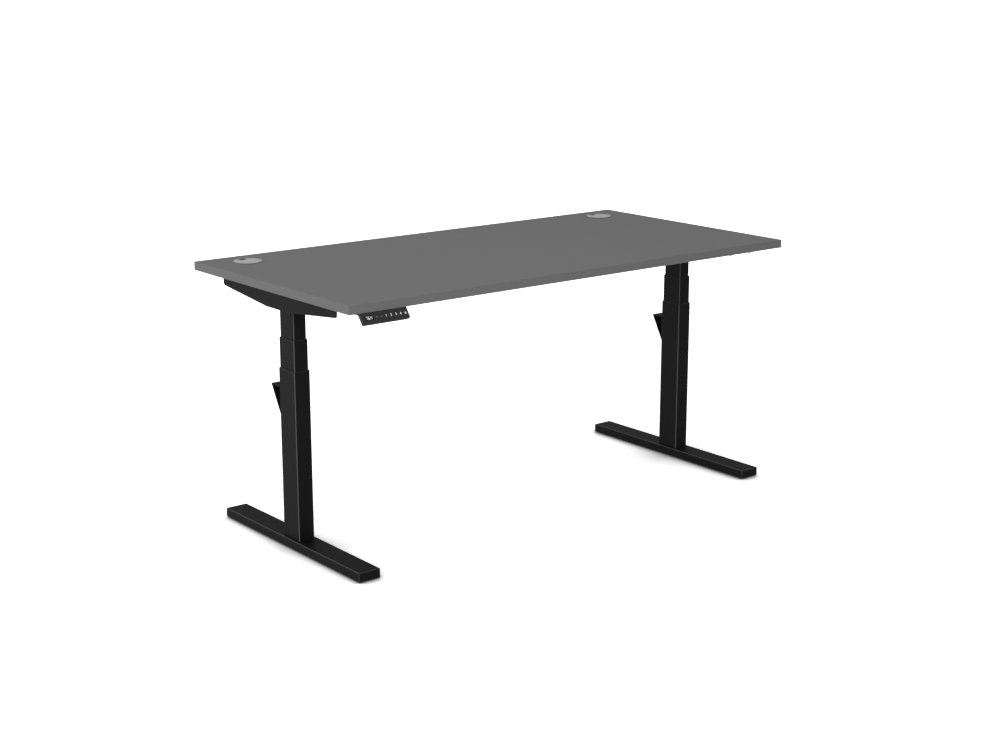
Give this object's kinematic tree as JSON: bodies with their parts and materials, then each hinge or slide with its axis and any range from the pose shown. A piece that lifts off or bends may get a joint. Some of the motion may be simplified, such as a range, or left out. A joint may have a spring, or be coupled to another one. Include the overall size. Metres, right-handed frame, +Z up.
{
  "type": "height adjustable standing desk",
  "caption": "Height adjustable standing desk: rectangular worktop on telescopic electric legs with flat feet, cable ports and a push-button handset.",
  "frame": {"origin": "on the floor, under the centre of the outline", "axes": "+Z up, +X to the right of a person at the desk, -Y towards that person"},
  "size_m": [1.6, 0.8179, 0.7667],
  "materials": {
    "laminate": "matte melamine laminate",
    "edge_band": "fine textured",
    "black_steel": "fine textured black powder coat",
    "zinc_steel": "zinc plated",
    "bright_steel": "rolled, oiled",
    "black_nylon": "matte",
    "glide_plastic": "matte",
    "grey_plastic": "satin light grey",
    "port_plastic": "satin black",
    "gearbox_plastic": "glass filled nylon",
    "motor_steel": "zinc plated can",
    "control_plastic": "fine textured",
    "handset_plastic": "satin",
    "circuit_board": "solder mask",
    "window": "smoked, glossy",
    "key_plastic": "satin"
  },
  "bodies": {
    "base": {"foot_left": "black_steel", "foot_right": "black_steel", "foot_end_caps": "black_steel", "glide_nuts": "zinc_steel", "outer_tube_left": "black_steel", "outer_tube_right": "black_steel", "screw_pillars": "bright_steel", "base_plate_screws": "zinc_steel", "lower_nuts": "black_nylon", "outer_collars": "black_nylon", "rear_brackets": "black_steel"},
    "top": {"desktop": "laminate", "edge_band": "edge_band", "desktop_screws": "zinc_steel", "cable_port_sleeves": "port_plastic", "inner_tubes": "black_steel", "inner_glide_sleeves": "black_nylon", "side_bracket_left": "black_steel", "side_bracket_right": "black_steel", "gearboxes": "gearbox_plastic", "motors": "motor_steel", "crossbar_front": "black_steel", "crossbar_rear": "black_steel", "frame_screws": "zinc_steel", "control_box": "control_plastic", "control_box_lid": "control_plastic", "handset_housing": "handset_plastic", "handset_cover": "handset_plastic", "handset_board": "circuit_board", "handset_window": "window"},
    "mid_stage_left": {"mid_tube_left": "black_steel", "mid_collar_left": "black_nylon", "mid_glide_sleeve_left": "black_nylon", "mid_carrier_left": "bright_steel", "upper_nut_left": "black_nylon", "screw_bearing_left": "bright_steel"},
    "hollow_screw_left": {"hollow_screw_left": "bright_steel"},
    "drive_screw_left": {"drive_screw_left": "bright_steel"},
    "mid_stage_right": {"mid_tube_right": "black_steel", "mid_collar_right": "black_nylon", "mid_glide_sleeve_right": "black_nylon", "mid_carrier_right": "bright_steel", "upper_nut_right": "black_nylon", "screw_bearing_right": "bright_steel"},
    "hollow_screw_right": {"hollow_screw_right": "bright_steel"},
    "drive_screw_right": {"drive_screw_right": "bright_steel"},
    "cable_port_cap_left": {"cable_port_cap_left": "grey_plastic"},
    "cable_port_cap_right": {"cable_port_cap_right": "grey_plastic"},
    "glide_front_left": {"glide_front_left": "glide_plastic"},
    "glide_rear_left": {"glide_rear_left": "glide_plastic"},
    "glide_front_right": {"glide_front_right": "glide_plastic"},
    "glide_rear_right": {"glide_rear_right": "glide_plastic"},
    "key_up": {"key_up": "key_plastic"},
    "key_down": {"key_down": "key_plastic"},
    "key_1": {"key_1": "key_plastic"},
    "key_2": {"key_2": "key_plastic"},
    "key_3": {"key_3": "key_plastic"},
    "key_4": {"key_4": "key_plastic"},
    "key_memory": {"key_memory": "key_plastic"}
  },
  "joints": [
    {"name": "desk_lift", "type": "slide", "parent": "base", "child": "top", "axis": [0, 0, 1], "range_m": [-0.144, 0.506]},
    {"name": "mid_stage_slide_left", "type": "slide", "parent": "base", "child": "mid_stage_left", "axis": [0, 0, 1], "range_m": [-0.0725, 0.2535]},
    {"name": "hollow_screw_turn_left", "type": "hinge", "parent": "mid_stage_left", "child": "hollow_screw_left", "pos_m": [-0.73, -0.00678, 0.35], "axis": [0, 0, 1], "range_deg": [-2597, 9113]},
    {"name": "drive_screw_turn_left", "type": "hinge", "parent": "top", "child": "drive_screw_left", "pos_m": [-0.73, -0.00678, 0.5], "axis": [0, 0, 1], "range_deg": [-2597, 9113]},
    {"name": "mid_stage_slide_right", "type": "slide", "parent": "base", "child": "mid_stage_right", "axis": [0, 0, 1], "range_m": [-0.0725, 0.2535]},
    {"name": "hollow_screw_turn_right", "type": "hinge", "parent": "mid_stage_right", "child": "hollow_screw_right", "pos_m": [0.73, -0.00678, 0.35], "axis": [0, 0, 1], "range_deg": [-2597, 9113]},
    {"name": "drive_screw_turn_right", "type": "hinge", "parent": "top", "child": "drive_screw_right", "pos_m": [0.73, -0.00678, 0.5], "axis": [0, 0, 1], "range_deg": [-2597, 9113]},
    {"name": "cable_port_cap_left_turn", "type": "hinge", "parent": "top", "child": "cable_port_cap_left", "pos_m": [-0.68, 0.31072, 0.765], "axis": [0, 0, 1], "continuous": true},
    {"name": "cable_port_cap_right_turn", "type": "hinge", "parent": "top", "child": "cable_port_cap_right", "pos_m": [0.67, 0.31072, 0.765], "axis": [0, 0, 1], "continuous": true},
    {"name": "glide_front_left_thread", "type": "hinge", "parent": "base", "child": "glide_front_left", "pos_m": [-0.73, -0.32178, 0.012], "axis": [0, 0, 1], "continuous": true},
    {"name": "glide_rear_left_thread", "type": "hinge", "parent": "base", "child": "glide_rear_left", "pos_m": [-0.73, 0.30822, 0.012], "axis": [0, 0, 1], "continuous": true},
    {"name": "glide_front_right_thread", "type": "hinge", "parent": "base", "child": "glide_front_right", "pos_m": [0.73, -0.32178, 0.012], "axis": [0, 0, 1], "continuous": true},
    {"name": "glide_rear_right_thread", "type": "hinge", "parent": "base", "child": "glide_rear_right", "pos_m": [0.73, 0.30822, 0.012], "axis": [0, 0, 1], "continuous": true},
    {"name": "key_up_press", "type": "slide", "parent": "top", "child": "key_up", "axis": [0, 0.8039, -0.5948], "range_m": [0, 0.0005], "stiffness_N_per_m": 800},
    {"name": "key_down_press", "type": "slide", "parent": "top", "child": "key_down", "axis": [0, 0.8039, -0.5948], "range_m": [0, 0.0005], "stiffness_N_per_m": 800},
    {"name": "key_1_press", "type": "slide", "parent": "top", "child": "key_1", "axis": [0, 0.8039, -0.5948], "range_m": [0, 0.0005], "stiffness_N_per_m": 800},
    {"name": "key_2_press", "type": "slide", "parent": "top", "child": "key_2", "axis": [0, 0.8039, -0.5948], "range_m": [0, 0.0005], "stiffness_N_per_m": 800},
    {"name": "key_3_press", "type": "slide", "parent": "top", "child": "key_3", "axis": [0, 0.8039, -0.5948], "range_m": [0, 0.0005], "stiffness_N_per_m": 800},
    {"name": "key_4_press", "type": "slide", "parent": "top", "child": "key_4", "axis": [0, 0.8039, -0.5948], "range_m": [0, 0.0005], "stiffness_N_per_m": 800},
    {"name": "key_memory_press", "type": "slide", "parent": "top", "child": "key_memory", "axis": [0, 0.8039, -0.5948], "range_m": [0, 0.0005], "stiffness_N_per_m": 800}
  ],
  "couplings": [
    {"joint": "mid_stage_slide_left", "follows": "desk_lift", "ratio": 0.5},
    {"joint": "hollow_screw_turn_left", "follows": "desk_lift", "rad_per_m": 314.16},
    {"joint": "drive_screw_turn_left", "follows": "desk_lift", "rad_per_m": 314.16},
    {"joint": "mid_stage_slide_right", "follows": "desk_lift", "ratio": 0.5},
    {"joint": "hollow_screw_turn_right", "follows": "desk_lift", "rad_per_m": 314.16},
    {"joint": "drive_screw_turn_right", "follows": "desk_lift", "rad_per_m": 314.16}
  ]
}
